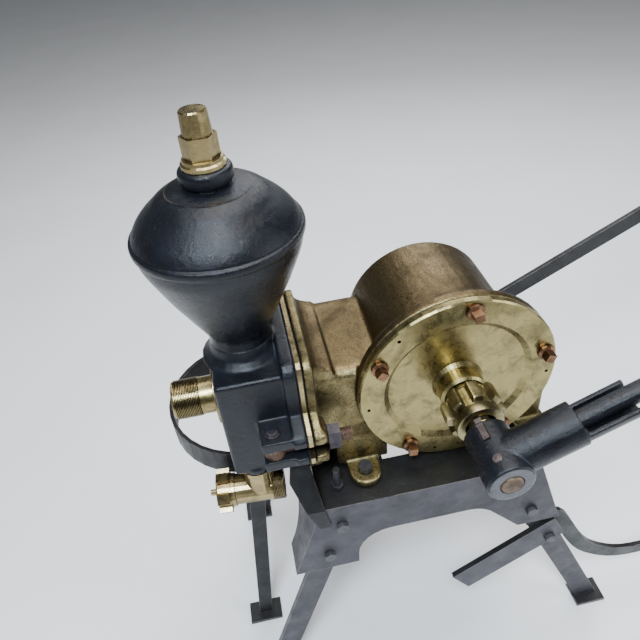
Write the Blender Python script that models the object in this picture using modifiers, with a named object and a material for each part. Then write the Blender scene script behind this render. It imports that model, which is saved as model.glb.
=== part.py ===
"""Hand-lever oscillating fire pump on a forged stand, as separate sub-parts.

Every part is modelled in the pump's own frame and hung from one empty: the shaft runs along Y, the
front cover faces -Y and its rim plane is y = 0, and the shaft centre is x = z = 0.
Units are metres, +Z is up and the stand's feet rest on z = 0.
"""
import math

import bmesh
import bpy
from mathutils import Matrix

# Driving dimensions -------------------------------------------------------------------------
GAP = 0.0003                    # clearance between touching pieces
SHAFT_HEIGHT = 0.620            # shaft centre above the floor
PUMP_X, PUMP_Y = -0.17605, -0.03815   # puts the part's origin under the middle of its box

COVER_R = 0.136
COVER_T = 0.010
DISH_R = 0.1025                 # edge of the cover's dished middle
DISH_DEPTH = 0.006
COVER_BOLT_R = 0.121
COVER_BOLT_ANGLES = (152.4, 83.8, 14.1, -54.5, -122.9)
JACK_HOLE_ANGLES = (131.0, -3.7, -103.4, -172.4)
GASKET_T = 0.0017
DRUM_FRONT = COVER_T + GASKET_T + 2 * GAP
DRUM_R = 0.1075
BORE_R = 0.0985
BORE_BACK = 0.187
DRUM_BACK = 0.199
BOSS_BORE_END = 0.207
SHAFT_R = 0.0137
SHAFT_HOLE_R = SHAFT_R + GAP

# Joint between the pump body and the valve chest, layer by layer from the drum outwards (x)
NECK_Y = (0.020, 0.1795)
NECK_Z = (-0.095, 0.040)
NECK_RISE = 0.0070                 # the neck's top climbs this much towards the back
BODY_FLANGE_X = (-0.2038, -0.1910)
DRUM_GASKET_X = (-0.2051, -0.2041)
PLATE_X = (-0.2104, -0.2054)
CHEST_GASKET_X = (-0.2117, -0.2107)
CHEST_FLANGE_X = (-0.2290, -0.2120)
FLANGE_Y = (0.000, 0.183)
FLANGE_Z = (-0.120, 0.081)
DUCTS_Y = ((0.032, 0.088), (0.095, 0.151))
DUCT_Z = (-0.088, 0.024)
PORTS_Z = ((-0.082, -0.044), (-0.020, 0.018))

CHEST_X, CHEST_Y = (-0.316, -0.226), (0.012, 0.158)
CHEST_Z = (-0.110, 0.062)
CHEST_CAVITY_X, CHEST_CAVITY_Y = (-0.306, -0.200), (0.022, 0.152)
CHEST_WALL_Z = (-0.034, -0.026)   # between the suction and delivery chambers
VESSEL_X, VESSEL_Y = -0.2712, 0.085
VESSEL_BASE = 0.0860
VESSEL_TOP = 0.3195
OUTLET_Z = -0.012
TEE_X, TEE_Y, TEE_Z = -0.285, 0.033, -0.168
TEE_TURN = math.radians(-4)        # the tee is screwed home a little past square

SWING_PIN_X = -0.254
SWING_BOLT_Z = -0.034
SWING_BOLT_R = 0.0088
SWING_OUT = 0.015               # bolt centre in front of the flange edge
SWING_Y_FRONT = FLANGE_Y[0] - SWING_OUT
SWING_Y_BACK = FLANGE_Y[1] + SWING_OUT
EAR_OUT = 0.036
SLOT_HALF, SLOT_ROOT = 0.0103, -0.0040
NUT_X = (-0.1834, -0.1674)
EAR_REACH = NUT_X[0] - SWING_PIN_X - GAP   # the nut's face swings round the pin outside this

LEVER_Y = -0.130
LEVER_ANGLE = math.radians(24.5)
HUB_Y = (-0.1650, -0.0885)
HUB_R = 0.029
SOCKET_R = 0.0270
SOCKET_END = 0.098
ROD_R = 0.012
ROD_END = 0.800
ROD_RISE = 0.002                # the rod sits this far above the socket's middle

TOP_Z = -0.150                  # upper face of the stand
SKIRT_DEPTH = 0.150
STAND_X = (-0.208, 0.118)
STAND_Y = (-0.045, 0.320)
SPLAY = 0.34                    # sideways run of the legs for each metre down
PLATE_T = 0.007
FLOOR_Z = -SHAFT_HEIGHT
FOOT_X, FOOT_R = 0.133, 0.024
FOOT_BOLTS_Y = (0.000, 0.180)
HOOP_CENTRE = (-0.284, 0.192)
HOOP_R, HOOP_T = 0.131, 0.006
HOOP_Z = (-0.168, -0.126)

parts = bpy.data.collections.new("portable_fire_pump")
cutters = bpy.data.collections.new("cutters")


# Scene and material helpers -----------------------------------------------------------------
def clear_scene():
    for old in list(bpy.data.objects):
        bpy.data.objects.remove(old, do_unlink=True)
    bpy.context.scene.collection.children.link(parts)
    bpy.context.scene.collection.children.link(cutters)


def material(name, colour, roughness, metallic):
    made = bpy.data.materials.new(name)
    made.use_nodes = True
    shader = made.node_tree.nodes["Principled BSDF"]
    shader.inputs["Base Color"].default_value = (*colour, 1.0)
    shader.inputs["Roughness"].default_value = roughness
    shader.inputs["Metallic"].default_value = metallic
    return made


BRONZE = material("bronze_patina", (0.23, 0.16, 0.085), 0.45, 1.0)
BRASS = material("yellow_brass", (0.66, 0.53, 0.29), 0.32, 1.0)
COPPER = material("copper_bolts", (0.50, 0.27, 0.16), 0.40, 1.0)
BLACK_IRON = material("black_cast_iron", (0.020, 0.021, 0.024), 0.45, 0.6)
GREY_IRON = material("dark_painted_iron", (0.060, 0.065, 0.078), 0.50, 0.5)
STEEL = material("worn_steel", (0.32, 0.30, 0.28), 0.42, 1.0)
RUSTY = material("rusty_steel", (0.20, 0.12, 0.08), 0.65, 0.6)
FIBRE = material("gasket_fibre", (0.05, 0.045, 0.04), 0.85, 0.0)
WOOD = material("ash_wood", (0.42, 0.27, 0.14), 0.55, 0.0)


def empty(name, location=(0.0, 0.0, 0.0), parent=None, rotation=(0.0, 0.0, 0.0)):
    made = bpy.data.objects.new(name, None)
    made.location = location
    made.rotation_euler = rotation
    made.parent = parent
    parts.objects.link(made)
    return made


def add(name, mesh, finish, at=(0.0, 0.0, 0.0), turn=(0.0, 0.0, 0.0), parent=None):
    """A visible sub-part; round faces are shaded smooth and edges over 35 degrees stay sharp."""
    made = bpy.data.objects.new(name, mesh)
    made.location = at
    made.rotation_euler = turn
    made.parent = parent or pump
    parts.objects.link(made)
    mesh.materials.clear()
    mesh.materials.append(finish)
    mesh.shade_smooth()
    mesh.set_sharp_from_angle(angle=math.radians(35))
    return made


def tool(mesh, at=(0.0, 0.0, 0.0), turn=(0.0, 0.0, 0.0), parent=None):
    """A hidden helper for a Boolean modifier."""
    made = bpy.data.objects.new("tool", mesh)
    made.location = at
    made.rotation_euler = turn
    made.parent = parent or pump
    made.hide_render = True
    made.display_type = "WIRE"
    cutters.objects.link(made)
    return made


def boolean(target, helper, operation):
    step = target.modifiers.new(operation.lower(), "BOOLEAN")
    step.operation = operation
    step.solver = "EXACT"
    step.object = helper


def join(target, mesh, at=(0.0, 0.0, 0.0), turn=(0.0, 0.0, 0.0)):
    boolean(target, tool(mesh, at, turn, target.parent), "UNION")


def cut(target, mesh, at=(0.0, 0.0, 0.0), turn=(0.0, 0.0, 0.0)):
    boolean(target, tool(mesh, at, turn, target.parent), "DIFFERENCE")


def bevel(target, width, segments=2):
    step = target.modifiers.new("bevel", "BEVEL")
    step.width = width
    step.segments = segments
    step.limit_method = "ANGLE"


def finished_mesh(target):
    """The object's mesh with its modifiers applied, to be shared by its copies."""
    bpy.context.view_layer.update()
    graph = bpy.context.evaluated_depsgraph_get()
    return bpy.data.meshes.new_from_object(target.evaluated_get(graph))


# Shape helpers --------------------------------------------------------------------------------
ALONG_X = (0.0, math.pi / 2, 0.0)          # a shape's own Z points to +X
ALONG_MINUS_X = (0.0, -math.pi / 2, 0.0)   # and here to -X
TO_FRONT = (math.pi / 2, 0.0, 0.0)         # and here to the front, -Y


def mesh_from(work, name):
    mesh = bpy.data.meshes.new(name)
    work.to_mesh(mesh)
    work.free()
    return mesh


def cylinder(radius, length, segments=32, top_radius=None):
    """A cylinder or cone along Z, centred on its origin."""
    work = bmesh.new()
    top = radius if top_radius is None else top_radius
    bmesh.ops.create_cone(work, cap_ends=True, segments=segments, radius1=radius, radius2=top,
                          depth=length)
    return mesh_from(work, "cylinder")


def hexagon(across_flats, length):
    return cylinder(across_flats / math.sqrt(3), length, 6)


def box(x, y, z):
    """A box given by its low and high value on each axis; its mesh carries its place."""
    work = bmesh.new()
    size = Matrix.Diagonal((x[1] - x[0], y[1] - y[0], z[1] - z[0], 1.0))
    middle = Matrix.Translation(((x[0] + x[1]) / 2, (y[0] + y[1]) / 2, (z[0] + z[1]) / 2))
    bmesh.ops.create_cube(work, size=1.0, matrix=middle @ size)
    return mesh_from(work, "box")


def turned(profile, steps=40, ring=False):
    """A turned solid about Z. The profile is (radius, height), down the outer side; a ring closes."""
    work = bmesh.new()
    points = [work.verts.new((radius, 0.0, height)) for radius, height in profile]
    for first, second in zip(points, points[1:]):
        work.edges.new((first, second))
    if ring:
        work.edges.new((points[-1], points[0]))
    holder = bpy.data.objects.new("turned", mesh_from(work, "profile"))
    cutters.objects.link(holder)
    screw = holder.modifiers.new("screw", "SCREW")
    screw.steps = steps
    screw.render_steps = steps
    screw.use_merge_vertices = True
    screw.merge_threshold = 0.00005
    mesh = finished_mesh(holder)
    bpy.data.objects.remove(holder)
    work = bmesh.new()
    work.from_mesh(mesh)
    bmesh.ops.dissolve_limit(work, angle_limit=0.01, verts=work.verts, edges=work.edges)
    work.to_mesh(mesh)
    work.free()
    return mesh


def arc(centre, radius, start, end, count=8):
    """Points on an arc, angles in degrees."""
    angles = [math.radians(start + (end - start) * i / count) for i in range(count + 1)]
    return [(centre[0] + radius * math.cos(a), centre[1] + radius * math.sin(a)) for a in angles]


def rounded_rectangle(low, high, radius, count=4):
    corners = (((high[0] - radius, high[1] - radius), 0), ((low[0] + radius, high[1] - radius), 90),
               ((low[0] + radius, low[1] + radius), 180), ((high[0] - radius, low[1] + radius), 270))
    return [point for centre, start in corners
            for point in arc(centre, radius, start, start + 90, count)]


def plate(outline, thickness, holes=()):
    """A flat plate in the XY plane, centred on z = 0, with any holes given as outlines."""
    curve = bpy.data.curves.new("outline", "CURVE")
    curve.dimensions = "2D"
    curve.fill_mode = "BOTH"
    curve.extrude = thickness / 2
    for loop in (outline, *holes):
        spline = curve.splines.new("POLY")
        spline.points.add(len(loop) - 1)
        for point, (x, y) in zip(spline.points, loop):
            point.co = (x, y, 0.0, 1.0)
        spline.use_cyclic_u = True
    holder = bpy.data.objects.new("plate", curve)
    cutters.objects.link(holder)
    mesh = finished_mesh(holder)
    bpy.data.objects.remove(holder)
    work = bmesh.new()
    work.from_mesh(mesh)
    bmesh.ops.remove_doubles(work, verts=work.verts, dist=0.00001)
    bmesh.ops.dissolve_limit(work, angle_limit=0.01, verts=work.verts, edges=work.edges)
    bmesh.ops.recalc_face_normals(work, faces=work.faces)
    work.to_mesh(mesh)
    work.free()
    return mesh


IN_YZ = (math.pi / 2, 0.0, math.pi / 2)    # a plate's X, Y become the pump's Y, Z
IN_XZ = (math.pi / 2, 0.0, 0.0)            # a plate's X, Y become the pump's X, Z


def smooth(points, count=3):
    """Points along a smooth (Catmull-Rom) curve through the given ones."""
    padded = [points[0], *points, points[-1]]
    path = []
    for before, start, end, after in zip(padded, padded[1:], padded[2:], padded[3:]):
        for i in range(count):
            t = i / count
            path.append(tuple(
                0.5 * (2 * b + (c - a) * t + (2 * a - 5 * b + 4 * c - d) * t * t
                       + (3 * b - a - 3 * c + d) * t ** 3)
                for a, b, c, d in zip(before, start, end, after)))
    return path + [points[-1]]


def strap(points, width, thickness):
    """The outline of a flat bar of one width that follows points in its plane."""
    left, right = [], []
    for i, (x, y) in enumerate(points):
        before = points[max(i - 1, 0)]
        after = points[min(i + 1, len(points) - 1)]
        length = math.hypot(after[0] - before[0], after[1] - before[1])
        nx, ny = -(after[1] - before[1]) / length, (after[0] - before[0]) / length
        left.append((x + nx * width / 2, y + ny * width / 2))
        right.append((x - nx * width / 2, y - ny * width / 2))
    return plate(left + right[::-1], thickness)


def middle(pair):
    return (pair[0] + pair[1]) / 2


def polar(radius, degrees):
    return radius * math.cos(math.radians(degrees)), radius * math.sin(math.radians(degrees))


# Pump body, cover and gland -------------------------------------------------------------------
def flange_outline(slotted):
    """The chest joint's outline in (y, z): a rounded plate with a lug at front and back."""
    low, high = (FLANGE_Y[0], FLANGE_Z[0]), (FLANGE_Y[1], FLANGE_Z[1])
    corners = rounded_rectangle(low, high, 0.022)
    lug_low, lug_high = SWING_BOLT_Z - 0.027, SWING_BOLT_Z + 0.027
    upper = [(0.0, lug_high + 0.010), (-EAR_OUT + 0.006, lug_high), (-EAR_OUT, lug_high - 0.006)]
    lower = [(-EAR_OUT, lug_low + 0.006), (-EAR_OUT + 0.006, lug_low), (0.0, lug_low - 0.010)]
    draft = SLOT_HALF + 0.001
    slot = [(-EAR_OUT, SWING_BOLT_Z + draft), (SLOT_ROOT, SWING_BOLT_Z + SLOT_HALF),
            (SLOT_ROOT, SWING_BOLT_Z - SLOT_HALF), (-EAR_OUT, SWING_BOLT_Z - draft)]
    front = upper + (slot if slotted else []) + lower
    back = [(FLANGE_Y[0] + FLANGE_Y[1] - y, z) for y, z in reversed(front)]
    half = len(corners) // 2
    return corners[:half] + front + corners[half:] + back


def rectangle(x, y):
    return [(x[0], y[0]), (x[1], y[0]), (x[1], y[1]), (x[0], y[1])]


def flange_plate(x, slotted=False, holes=()):
    return plate(flange_outline(slotted), x[1] - x[0], holes)


def cut_bolt_slots(target):
    """The open slots that let the swing bolts drop into the lugs."""
    z = (SWING_BOLT_Z - SLOT_HALF, SWING_BOLT_Z + SLOT_HALF)
    cut(target, box((-0.2300, -0.1700), (-EAR_OUT - 0.010, SLOT_ROOT), z))
    back = FLANGE_Y[0] + FLANGE_Y[1]
    cut(target, box((-0.2300, -0.1700), (back - SLOT_ROOT, back + EAR_OUT + 0.010), z))


def pump_body():
    """The bronze casting: drum, neck with its ducts, flange and the two foot rails."""
    drum = turned([(0.0, -DRUM_FRONT), (COVER_R, -DRUM_FRONT),
                   (COVER_R, -0.0255), (0.1345, -0.0270), (0.1125, -0.0270), (DRUM_R, -0.0330),
                   (DRUM_R, -0.1890), (0.1015, -0.1970), (0.0940, -DRUM_BACK),
                   (0.0360, -DRUM_BACK), (0.0330, -0.2150), (0.0, -0.2150)], 48)
    body = add("pump_body", drum, BRONZE, turn=TO_FRONT)

    neck = box((-0.200, -0.060), NECK_Y, NECK_Z)
    for corner in neck.vertices:
        if corner.co.y > NECK_Y[0] + 0.01 and corner.co.z > 0:
            corner.co.z += NECK_RISE
    neck_tool = tool(neck)
    bevel(neck_tool, 0.014, 3)
    boolean(body, neck_tool, "UNION")
    flare = [(-0.1925, 0.0300), (-0.1925, 0.0680), (-0.1890, 0.0610), (-0.1830, 0.0550),
             (-0.1740, 0.0505), (-0.1640, 0.0480), (-0.1590, 0.0300)]
    join(body, plate(flare, 0.1540), (0.0, 0.0995, 0.0), IN_XZ)
    join(body, flange_plate(BODY_FLANGE_X), (middle(BODY_FLANGE_X), 0.0, 0.0), IN_YZ)
    root_x = BODY_FLANGE_X[1] - 0.002
    for y, low, high in ((SWING_Y_FRONT, -EAR_OUT + 0.0008, 0.0012),
                         (SWING_Y_BACK, FLANGE_Y[1] - 0.0012, FLANGE_Y[1] + EAR_OUT - 0.0008)):
        nose = [(SWING_PIN_X + math.sqrt(EAR_REACH ** 2 - (low + (high - low) * i / 6 - y) ** 2),
                 low + (high - low) * i / 6) for i in range(7)]
        outline = [(root_x, low), *nose, (root_x, high)]
        join(body, plate(outline, 0.050), (0.0, 0.0, SWING_BOLT_Z))

    rail_z = (TOP_Z + GAP, TOP_Z + 0.0125)
    for side in (-1, 1):
        outline = (arc((side * FOOT_X, FOOT_BOLTS_Y[0]), FOOT_R, 180, 360)
                   + arc((side * FOOT_X, FOOT_BOLTS_Y[1]), FOOT_R, 0, 180))
        join(body, plate(outline, rail_z[1] - rail_z[0]), (0.0, 0.0, middle(rail_z)))
        web_x = (-0.168, -0.093) if side < 0 else (0.093, 0.150)
        web_front = 0.0215 if side < 0 else 0.034
        join(body, box(web_x, (web_front, 0.166), (rail_z[0] + 0.006, -0.040)))

    cut_bolt_slots(body)
    cut(body, turned([(0.0, -0.005), (BORE_R, -0.005), (BORE_R, -BORE_BACK),
                      (SHAFT_HOLE_R, -BORE_BACK), (SHAFT_HOLE_R, -BOSS_BORE_END),
                      (0.0, -BOSS_BORE_END)], 48), turn=TO_FRONT)
    for duct in DUCTS_Y:
        cut(body, box((-0.230, -0.070), duct, DUCT_Z))
    for degrees in COVER_BOLT_ANGLES:
        x, z = polar(COVER_BOLT_R, degrees)
        cut(body, cylinder(0.0050, 0.020, 10), (x, DRUM_FRONT, z), TO_FRONT)
    for side in (-1, 1):
        for y in FOOT_BOLTS_Y:
            cut(body, cylinder(0.0065, 0.060, 12), (side * FOOT_X, y, TOP_Z + 0.01))
    return body


def front_cover():
    """The dished brass cover with its stuffing box, bolt holes and jacking holes."""
    cover = add("front_cover", turned(
        [(0.0212, 0.0220), (0.0280, 0.0220), (0.0310, 0.0190), (0.0315, 0.0000),
         (0.0350, -DISH_DEPTH), (0.0950, -DISH_DEPTH), (DISH_R, 0.0), (0.1340, 0.0),
         (COVER_R, -0.0020), (COVER_R, -COVER_T), (SHAFT_HOLE_R, -COVER_T),
         (SHAFT_HOLE_R, 0.0040), (0.0212, 0.0040)], 48, ring=True), BRASS, turn=TO_FRONT)
    for degrees in COVER_BOLT_ANGLES:
        x, z = polar(COVER_BOLT_R, degrees)
        cut(cover, cylinder(0.0050, 0.040, 10), (x, 0.0, z), TO_FRONT)
    for degrees in JACK_HOLE_ANGLES:
        x, z = polar(0.1245, degrees)
        cut(cover, cylinder(0.0026, 0.040, 8), (x, 0.0, z), TO_FRONT)


def cover_gasket():
    """The dark packing ring between the cover and the drum, with holes for the bolts."""
    front, back = -COVER_T - GAP, -COVER_T - GAP - GASKET_T
    ring = add("cover_gasket", turned([(0.1010, front), (0.1348, front), (0.1348, back),
                                       (0.1010, back)], 36, ring=True), FIBRE, turn=TO_FRONT)
    for degrees in COVER_BOLT_ANGLES:
        x, z = polar(COVER_BOLT_R, degrees)
        cut(ring, cylinder(0.0052, 0.040, 10), (x, 0.0, z), TO_FRONT)


def cover_bolts():
    """Square-headed collar bolts, all from one finished shape."""
    bolt = add("cover_bolt_0", turned([(0.0, 0.0060), (0.0080, 0.0060), (0.0112, 0.0042),
                                       (0.0112, GAP), (0.0045, GAP), (0.0045, -0.0200),
                                       (0.0, -0.0200)], 12), COPPER)
    join(bolt, box((-0.0058, 0.0058), (-0.0058, 0.0058), (0.0040, 0.0170)))
    shape = finished_mesh(bolt)
    for helper in [step.object for step in bolt.modifiers]:
        bpy.data.objects.remove(helper)
    bpy.data.objects.remove(bolt)
    for number, degrees in enumerate(COVER_BOLT_ANGLES, 1):
        x, z = polar(COVER_BOLT_R, degrees)
        head_turn = Matrix.Rotation(math.radians(37 * number), 3, "Y") @ Matrix.Rotation(
            math.pi / 2, 3, "X")
        add(f"cover_bolt_{number}", shape, COPPER, (x, 0.0, z), head_turn.to_euler())


def gland():
    """Packing ring in the stuffing box and the castellated gland nut in front of it."""
    add("packing_ring", turned([(SHAFT_HOLE_R, 0.0143), (0.0209, 0.0143), (0.0209, 0.0043),
                                (SHAFT_HOLE_R, 0.0043)], 24, ring=True), FIBRE, turn=TO_FRONT)
    axis = empty("gland_nut_axis", parent=pump)
    nut = add("gland_nut", turned(
        [(0.0205, 0.0760), (0.0290, 0.0760), (0.0305, 0.0745), (0.0305, 0.0620),
         (0.0340, 0.0600), (0.0340, 0.0310), (0.0270, 0.0235), (0.0208, 0.0235),
         (0.0208, 0.0150), (SHAFT_HOLE_R, 0.0150), (SHAFT_HOLE_R, 0.0640),
         (0.0205, 0.0640)], 24, ring=True), BRASS, turn=TO_FRONT, parent=axis)
    for number in range(8):
        degrees = 22.5 + 45 * number
        x, z = polar(0.0335, degrees)
        turn = Matrix.Rotation(math.radians(-degrees), 3, "Y").to_euler()
        cut(nut, box((-0.0105, 0.0060), (-0.0580, -0.0290), (-0.0052, 0.0052)), (x, 0.0, z), turn)


# Valve gear between drum and chest ------------------------------------------------------------
def joint_layers():
    """Two gaskets and the brass valve plate, with four ports, cut to the flange's outline."""
    ports = [rectangle((duct[0] + 0.008, duct[1] - 0.008), port)
             for duct in DUCTS_Y for port in PORTS_Z]
    ducts = [rectangle(duct, DUCT_Z) for duct in DUCTS_Y]
    chambers = [rectangle((DUCTS_Y[0][0], DUCTS_Y[1][1]), z)
                for z in ((DUCT_Z[0], CHEST_WALL_Z[0]), (CHEST_WALL_Z[1], DUCT_Z[1]))]
    for name, x, finish, holes in (("gasket_drum_side", DRUM_GASKET_X, FIBRE, ducts),
                                   ("valve_plate", PLATE_X, BRASS, ports),
                                   ("gasket_chest_side", CHEST_GASKET_X, FIBRE, chambers)):
        add(name, flange_plate(x, True, holes), finish, (middle(x), 0.0, 0.0), IN_YZ)


def flap_valves():
    """Four hinged flaps: suction flaps open towards the drum, delivery flaps into the chest."""
    places = (("suction_flap_front", 0, 0, 1), ("suction_flap_back", 1, 0, 1),
              ("delivery_flap_front", 0, 1, -1), ("delivery_flap_back", 1, 1, -1))
    for name, duct, port, side in places:
        face = PLATE_X[1] + GAP if side > 0 else PLATE_X[0] - GAP
        y, low, high = DUCTS_Y[duct], PORTS_Z[port][0] - 0.003, PORTS_Z[port][1] + 0.0015
        hinge = empty(name + "_hinge", (face + side * 0.0032, middle(y), high), pump)
        leaf_x = sorted((-side * 0.0032, side * 0.0004))
        leaf = add(name, box(leaf_x, (-0.0245, 0.0245), (low - high, 0.0)), BRASS, parent=hinge)
        join(leaf, cylinder(0.0031, 0.049, 8), turn=TO_FRONT)
        join(leaf, cylinder(0.0120, 0.0090, 12), (side * 0.0045, 0.0, -0.0240), ALONG_X)


# Valve chest, air vessel, outlet and suction --------------------------------------------------
def valve_chest():
    """The cast-iron chest: box, flange, swing-bolt lugs, saddle and its ports."""
    chest = add("valve_chest", box(CHEST_X, CHEST_Y, CHEST_Z), BLACK_IRON)
    bevel(chest, 0.005, 2)
    join(chest, flange_plate(CHEST_FLANGE_X), (middle(CHEST_FLANGE_X), 0.0, 0.0), IN_YZ)
    join(chest, turned([(0.0, VESSEL_BASE - GAP), (0.0400, VESSEL_BASE - GAP),
                        (0.0425, 0.0720), (0.0500, 0.0640), (0.0560, 0.0600), (0.0, 0.0600)], 36),
         (VESSEL_X, VESSEL_Y, 0.0))
    join(chest, cylinder(0.0240, 0.010, 28), (TEE_X, TEE_Y, CHEST_Z[0] + 0.001))
    for low, high, depth in ((-0.0600, -0.0436, 0.046), (-0.0244, -0.0080, 0.046)):
        for sign, face in ((-1, CHEST_Y[0]), (1, CHEST_Y[1])):
            y = sorted((face + sign * (depth - 0.002), face - sign * 0.002))
            join(chest, box((SWING_PIN_X - 0.016, -0.227), y, (low, high)))
    cut(chest, box(CHEST_CAVITY_X, CHEST_CAVITY_Y, (CHEST_WALL_Z[1], 0.052)))
    cut(chest, box(CHEST_CAVITY_X, CHEST_CAVITY_Y, (-0.100, CHEST_WALL_Z[0])))
    cut(chest, cylinder(0.0280, 0.060, 24), (VESSEL_X, VESSEL_Y, 0.070))
    cut(chest, cylinder(0.0225, 0.030, 24), (CHEST_X[0], VESSEL_Y, OUTLET_Z), ALONG_X)
    cut(chest, cylinder(0.0145, 0.040, 20), (TEE_X, TEE_Y, CHEST_Z[0]))
    cut_bolt_slots(chest)
    for y in (SWING_Y_FRONT, SWING_Y_BACK):
        cut(chest, cylinder(0.0066, 0.100, 14), (SWING_PIN_X, y, SWING_BOLT_Z))
    return chest


def air_vessel():
    """The onion-shaped cast vessel, hollow, open to the chest below and to its plug above."""
    outer = [(0.0165, VESSEL_TOP), (0.0265, VESSEL_TOP), (0.0298, 0.3165), (0.0305, 0.3110),
             (0.0295, 0.3040), (0.0265, 0.2995), (0.0300, 0.2982), (0.0470, 0.2955),
             (0.0600, 0.2885), (0.0705, 0.2800), (0.0820, 0.2700), (0.0910, 0.2600),
             (0.0970, 0.2500), (0.1005, 0.2465), (0.1015, 0.2415), (0.1005, 0.2365),
             (0.0955, 0.2200), (0.0880, 0.2000), (0.0753, 0.1700), (0.0655, 0.1500),
             (0.0555, 0.1300), (0.0448, 0.1100), (0.0400, 0.0980), (0.0400, VESSEL_BASE)]
    inner = [(0.0280, VESSEL_BASE), (0.0480, 0.1280), (0.0750, 0.1880), (0.0900, 0.2200),
             (0.0900, 0.2440), (0.0650, 0.2780), (0.0165, 0.2920)]
    add("air_vessel", turned(outer + inner, 36, ring=True), BLACK_IRON, (VESSEL_X, VESSEL_Y, 0.0))


def vessel_plug():
    """Brass plug in the vessel's neck: stem, stepped collar, hexagon and cap."""
    base = VESSEL_TOP + GAP
    plug = add("vessel_plug", turned(
        [(0.0, base + 0.0600), (0.0138, base + 0.0600), (0.0150, base + 0.0585),
         (0.0163, base + 0.0330), (0.0170, base + 0.0100), (0.0225, base + 0.0095),
         (0.0228, base + 0.0060), (0.0250, base + 0.0045), (0.0250, base + 0.0005),
         (0.0245, base), (0.0160, base), (0.0160, base - 0.0170), (0.0, base - 0.0170)], 20),
               BRASS, (VESSEL_X, VESSEL_Y, 0.0))
    join(plug, hexagon(0.0352, 0.0245), (VESSEL_X, VESSEL_Y, base + 0.0218),
         (0.0, 0.0, math.radians(30)))


def outlet_nipple():
    """Brass delivery nipple on the chest's left face, with a collar and a threaded end."""
    face = CHEST_X[0] - GAP
    profile = [(0.0200, 0.0640), (0.0255, 0.0640), (0.0275, 0.0620), (0.0275, 0.0270),
               (0.0262, 0.0260), (0.0262, 0.0060), (0.0430, 0.0055), (0.0430, 0.0),
               (0.0221, 0.0), (0.0221, -0.0090), (0.0200, -0.0090)]
    add("outlet_nipple", turned(profile, 24, ring=True), BRASS, (face, VESSEL_Y, OUTLET_Z),
        ALONG_MINUS_X)


def suction_tee():
    """Brass tee under the chest: threaded on the right, capped on the left."""
    top = CHEST_Z[0] - 0.004 - GAP - TEE_Z
    axis = empty("suction_tee_axis", (TEE_X, TEE_Y, TEE_Z), pump, (0.0, 0.0, TEE_TURN))
    tee = add("suction_tee", turned([(0.0, 0.0345), (0.0215, 0.0345), (0.0235, 0.0330),
                                     (0.0235, 0.0140), (0.0225, 0.0130), (0.0225, -0.0380),
                                     (0.0245, -0.0390), (0.0245, -0.0450), (0.0, -0.0450)], 24),
              BRASS, turn=ALONG_X, parent=axis)
    branch = turned([(0.0, top), (0.0240, top), (0.0240, top - 0.0080), (0.0218, top - 0.0110),
                     (0.0218, 0.0), (0.0, 0.0)], 20)
    join(tee, branch)
    cut(tee, cylinder(0.0165, 0.120, 24), turn=ALONG_X)
    cut(tee, cylinder(0.0145, 0.080, 16), (0.0, 0.0, 0.040))


def tee_cap():
    """Claw cap on the tee's left end, with six lugs for a spanner."""
    axis = empty("tee_cap_axis", (TEE_X, TEE_Y, TEE_Z), pump, (0.0, 0.0, TEE_TURN))
    face = 0.0450 + GAP
    cap = add("tee_cap", turned([(0.0, face + 0.0200), (0.0245, face + 0.0200),
                                 (0.0265, face + 0.0180), (0.0265, face), (0.0, face)], 24),
              BRASS, turn=ALONG_MINUS_X, parent=axis)
    for degrees in range(30, 390, 60):
        y, z = polar(0.0270, degrees)
        turn = Matrix.Rotation(math.radians(degrees), 3, "X").to_euler()
        lug = box((-face - 0.0190, -face - 0.0010), (-0.0040, 0.0045), (-0.0080, 0.0080))
        join(cap, lug, (0.0, y, z), turn)
    join(cap, cylinder(0.0045, 0.016, 12), (-face - 0.0230, 0.0, 0.0), ALONG_X)


def swing_bolts():
    """Two eyebolts that swing on pins in the chest's lugs, each with its hexagon nut."""
    for place, y in (("front", SWING_Y_FRONT), ("back", SWING_Y_BACK)):
        axis = empty(f"swing_bolt_{place}_axis", (SWING_PIN_X, y, SWING_BOLT_Z), pump)
        bolt = add(f"swing_bolt_{place}", cylinder(0.0150, 0.0180, 18), RUSTY, parent=axis)
        shank_end = NUT_X[1] + 0.016 - SWING_PIN_X
        join(bolt, cylinder(SWING_BOLT_R, shank_end, 14), (shank_end / 2, 0.0, 0.0), ALONG_X)
        cut(bolt, cylinder(0.0067, 0.030, 12))
        add(f"swing_pin_{place}", turned(
            [(0.0, 0.0350), (0.0070, 0.0340), (0.0105, 0.0300), (0.0105, 0.0263),
             (0.0063, 0.0263), (0.0063, -0.0300), (0.0, -0.0300)], 12), BLACK_IRON,
            (SWING_PIN_X, y, SWING_BOLT_Z))
        nut = add(f"swing_nut_{place}", hexagon(0.030, NUT_X[1] - NUT_X[0]), BLACK_IRON,
                  (middle(NUT_X) - SWING_PIN_X, 0.0, 0.0), ALONG_X, parent=axis)
        cut(nut, cylinder(SWING_BOLT_R + GAP, 0.060, 20),
            (middle(NUT_X) - SWING_PIN_X, 0.0, 0.0), ALONG_X)


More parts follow.
